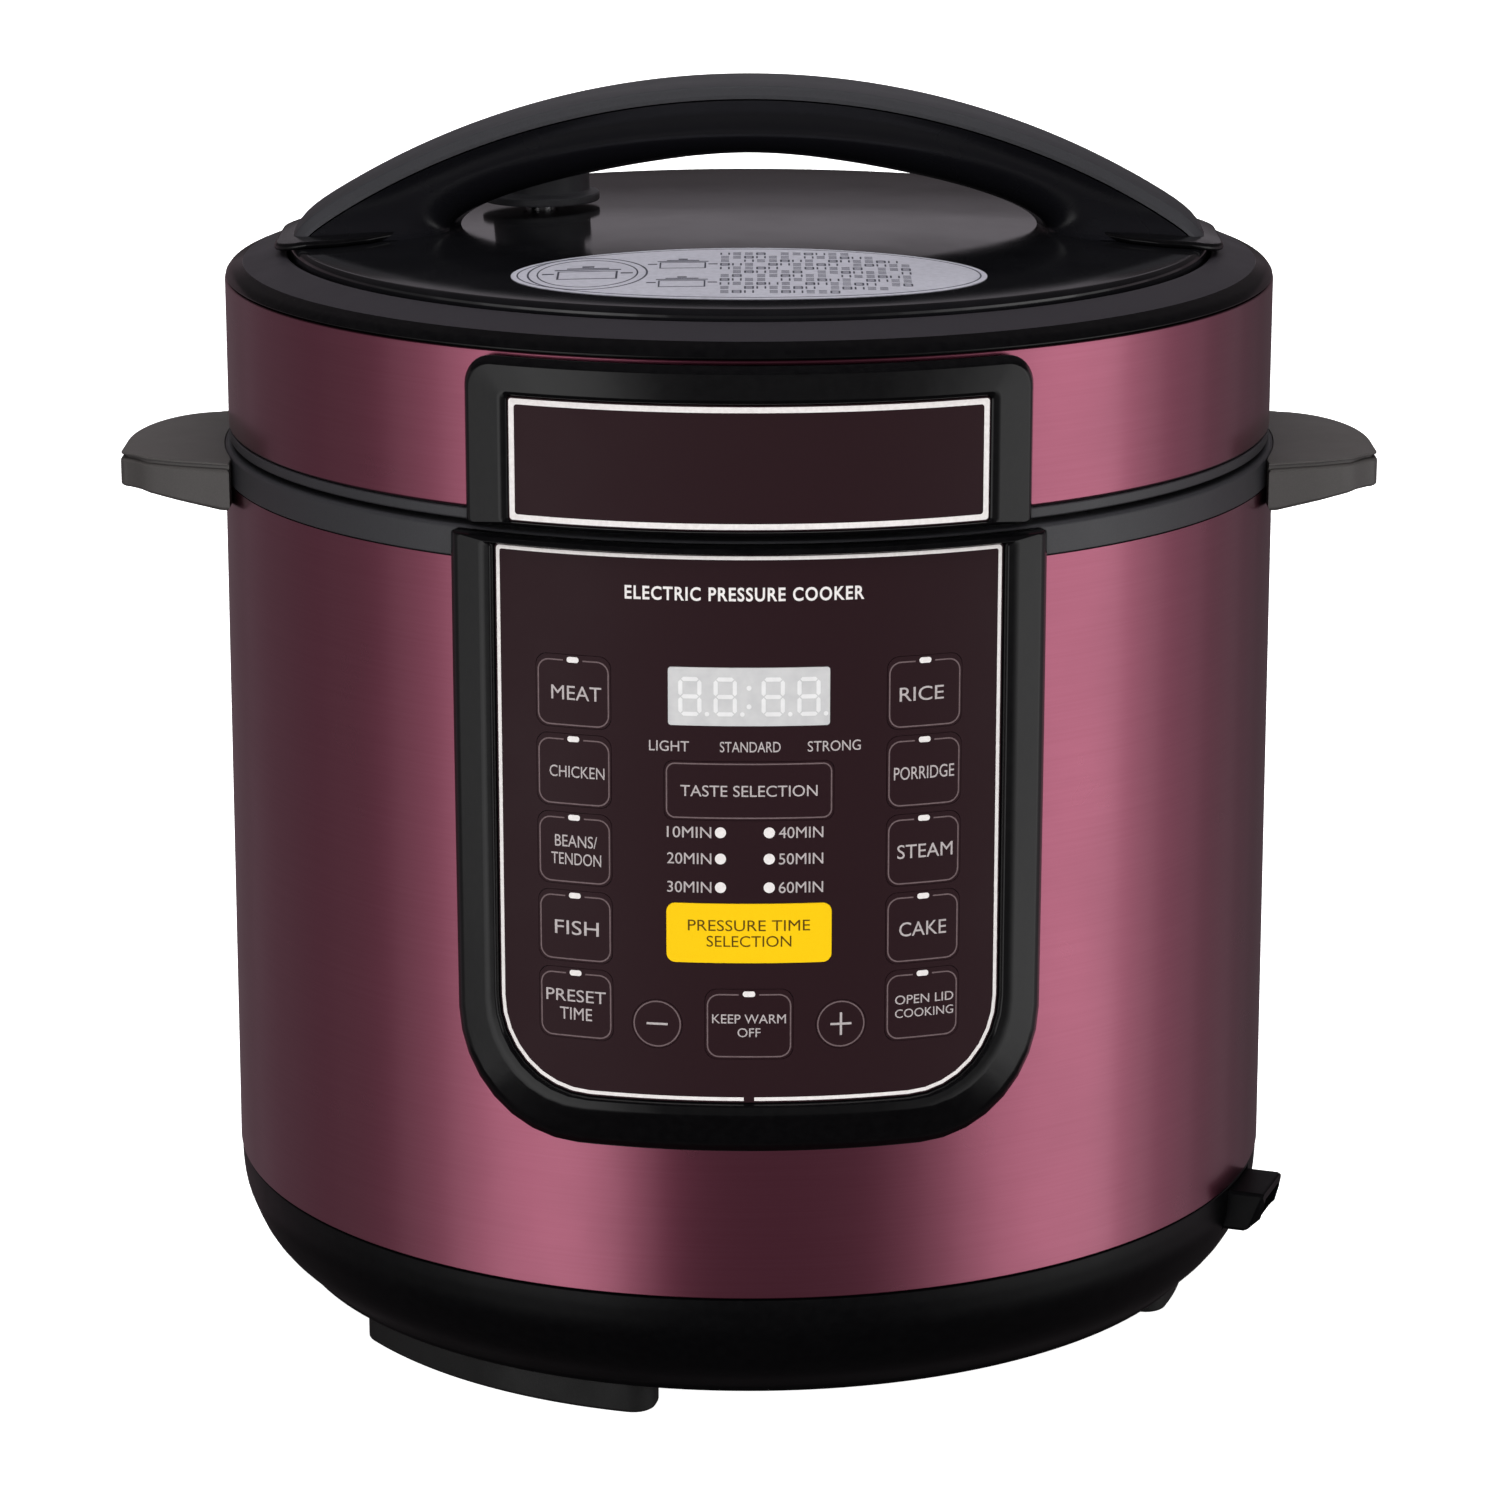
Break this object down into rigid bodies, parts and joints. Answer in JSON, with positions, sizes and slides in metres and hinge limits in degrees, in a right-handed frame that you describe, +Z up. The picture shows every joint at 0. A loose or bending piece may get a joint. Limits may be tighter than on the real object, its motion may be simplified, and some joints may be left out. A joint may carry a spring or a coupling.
{
  "type": "electric pressure cooker",
  "caption": "Round countertop electric pressure cooker with a bayonet lid, arched lid handle, film key panel, side handles and a lift-out pot.",
  "frame": {"origin": "centre of the object's bounding box in plan, on the plane the feet stand on; the cooker's round body is centred 10.5 mm in front of it, at y = -0.0105, because the condensation cup stands out behind", "axes": "+Z up along the body's axis, -Y towards the key panel, +X to the right of a person facing the panel, through the right side handle"},
  "size_m": [0.328, 0.311, 0.3262],
  "materials": {
    "burgundy_steel": "brushed steel sheet under a clear burgundy lacquer, satin to glossy",
    "gloss_black": "polished black moulded plastic",
    "satin_black": "fine-textured black moulded plastic",
    "dark_ring": "satin dark grey-black moulded plastic",
    "film_brown": "dark brown printed film, smooth satin gloss",
    "key_yellow": "yellow printed film over a key",
    "display_grey": "light grey display behind a clear window",
    "steel": "pressed stainless steel",
    "cast_aluminium": "cast aluminium, machined face",
    "pot_coating": "aluminium with a dark non-stick coat",
    "silicone": "translucent white silicone",
    "circuit_green": "green circuit board",
    "clear_cup": "smoky translucent plastic",
    "rubber": "black soft rubber",
    "brass": "plain brass blades",
    "print_white": "white screen print",
    "print_dark": "dark screen print",
    "label_silver": "silver-white paper label, satin"
  },
  "bodies": {
    "cooker_body": {"outer_shell": "burgundy_steel", "base_housing": "gloss_black", "bottom_cover": "satin_black", "foot_front_left": "rubber", "foot_right": "rubber", "foot_rear_left": "rubber", "collar_ring": "satin_black", "side_handle_left": "satin_black", "side_handle_right": "satin_black", "panel_frame": "gloss_black", "panel_film": "film_brown", "display_window": "display_grey", "key_carrier": "satin_black", "control_board": "circuit_green", "display_module": "display_grey", "power_board": "circuit_green", "cooking_liner": "steel", "heating_plate": "cast_aluminium", "heat_shield": "steel", "sensor_bracket": "steel", "sensor_spring": "steel", "pressure_switch": "satin_black", "thermal_fuse": "steel", "mains_inlet": "satin_black", "collector_bracket": "satin_black"},
    "lid_seal": {"sealing_ring": "silicone"},
    "lid": {"lid_lip_ring": "satin_black", "lid_band": "burgundy_steel", "lid_top_ring": "dark_ring", "lid_cover": "gloss_black", "lid_handle": "satin_black", "handle_cap": "gloss_black", "badge_frame": "gloss_black", "badge_plate": "film_brown", "inner_lid": "steel", "seal_support_ring": "steel", "vent_pipe": "steel", "anti_block_cap": "steel"},
    "inner_pot": {"inner_pot": "pot_coating"},
    "pressure_valve": {"pressure_valve": "satin_black"},
    "float_valve": {"float_valve": "steel", "float_gasket": "silicone"},
    "collector_cup": {"collector_cup": "clear_cup"},
    "temperature_sensor": {"temperature_sensor": "cast_aluminium"},
    "key_meat": {"key_meat": "film_brown"},
    "key_chicken": {"key_chicken": "film_brown"},
    "key_beans": {"key_beans": "film_brown"},
    "key_fish": {"key_fish": "film_brown"},
    "key_preset": {"key_preset": "film_brown"},
    "key_rice": {"key_rice": "film_brown"},
    "key_porridge": {"key_porridge": "film_brown"},
    "key_steam": {"key_steam": "film_brown"},
    "key_cake": {"key_cake": "film_brown"},
    "key_open_lid": {"key_open_lid": "film_brown"},
    "key_taste": {"key_taste": "film_brown"},
    "key_pressure_time": {"key_pressure_time": "key_yellow"},
    "key_keep_warm": {"key_keep_warm": "film_brown"},
    "key_minus": {"key_minus": "film_brown"},
    "key_plus": {"key_plus": "film_brown"}
  },
  "joints": [
    {"name": "lid_lift", "type": "slide", "parent": "cooker_body", "child": "lid_seal", "axis": [0, 0, 1], "range_m": [0, 0.42]},
    {"name": "lid_turn", "type": "hinge", "parent": "lid_seal", "child": "lid", "pos_m": [0, -0.0105, 0.25], "axis": [0, 0, 1], "range_deg": [0, 30]},
    {"name": "pot_lift", "type": "slide", "parent": "cooker_body", "child": "inner_pot", "axis": [0, 0, 1], "range_m": [0, 0.19]},
    {"name": "valve_turn", "type": "hinge", "parent": "lid", "child": "pressure_valve", "pos_m": [-0.056, 0.0205, 0.3], "axis": [0, 0, 1], "range_deg": [0, 60]},
    {"name": "cup_pull", "type": "slide", "parent": "cooker_body", "child": "collector_cup", "axis": [0, 1, 0], "range_m": [0, 0.04]},
    {"name": "float_rise", "type": "slide", "parent": "lid", "child": "float_valve", "axis": [0, 0, 1], "range_m": [0, 0.004]},
    {"name": "sensor_press", "type": "slide", "parent": "cooker_body", "child": "temperature_sensor", "axis": [0, 0, -1], "range_m": [0, 0.003], "stiffness_N_per_m": 600, "springref_m": -0.002, "deforming": ["sensor_spring"]},
    {"name": "press_meat", "type": "slide", "parent": "cooker_body", "child": "key_meat", "axis": [0.2962, 0.9551, 0], "range_m": [0, 0.0004], "stiffness_N_per_m": 900},
    {"name": "press_chicken", "type": "slide", "parent": "cooker_body", "child": "key_chicken", "axis": [0.2962, 0.9551, 0], "range_m": [0, 0.0004], "stiffness_N_per_m": 900},
    {"name": "press_beans", "type": "slide", "parent": "cooker_body", "child": "key_beans", "axis": [0.2962, 0.9551, 0], "range_m": [0, 0.0004], "stiffness_N_per_m": 900},
    {"name": "press_fish", "type": "slide", "parent": "cooker_body", "child": "key_fish", "axis": [0.2962, 0.9551, 0], "range_m": [0, 0.0004], "stiffness_N_per_m": 900},
    {"name": "press_preset", "type": "slide", "parent": "cooker_body", "child": "key_preset", "axis": [0.2962, 0.9551, 0], "range_m": [0, 0.0004], "stiffness_N_per_m": 900},
    {"name": "press_rice", "type": "slide", "parent": "cooker_body", "child": "key_rice", "axis": [-0.2962, 0.9551, 0], "range_m": [0, 0.0004], "stiffness_N_per_m": 900},
    {"name": "press_porridge", "type": "slide", "parent": "cooker_body", "child": "key_porridge", "axis": [-0.2962, 0.9551, 0], "range_m": [0, 0.0004], "stiffness_N_per_m": 900},
    {"name": "press_steam", "type": "slide", "parent": "cooker_body", "child": "key_steam", "axis": [-0.2962, 0.9551, 0], "range_m": [0, 0.0004], "stiffness_N_per_m": 900},
    {"name": "press_cake", "type": "slide", "parent": "cooker_body", "child": "key_cake", "axis": [-0.2962, 0.9551, 0], "range_m": [0, 0.0004], "stiffness_N_per_m": 900},
    {"name": "press_open_lid", "type": "slide", "parent": "cooker_body", "child": "key_open_lid", "axis": [-0.2962, 0.9551, 0], "range_m": [0, 0.0004], "stiffness_N_per_m": 900},
    {"name": "press_taste", "type": "slide", "parent": "cooker_body", "child": "key_taste", "axis": [0, 1, 0], "range_m": [0, 0.0004], "stiffness_N_per_m": 900},
    {"name": "press_pressure_time", "type": "slide", "parent": "cooker_body", "child": "key_pressure_time", "axis": [0, 1, 0], "range_m": [0, 0.0004], "stiffness_N_per_m": 900},
    {"name": "press_keep_warm", "type": "slide", "parent": "cooker_body", "child": "key_keep_warm", "axis": [0, 1, 0], "range_m": [0, 0.0004], "stiffness_N_per_m": 900},
    {"name": "press_minus", "type": "slide", "parent": "cooker_body", "child": "key_minus", "axis": [0.1567, 0.9876, 0], "range_m": [0, 0.0004], "stiffness_N_per_m": 900},
    {"name": "press_plus", "type": "slide", "parent": "cooker_body", "child": "key_plus", "axis": [-0.1567, 0.9876, 0], "range_m": [0, 0.0004], "stiffness_N_per_m": 900}
  ],
  "couplings": [
    {"joint": "pot_lift", "follows": "lid_lift", "ratio": 0.45}
  ]
}
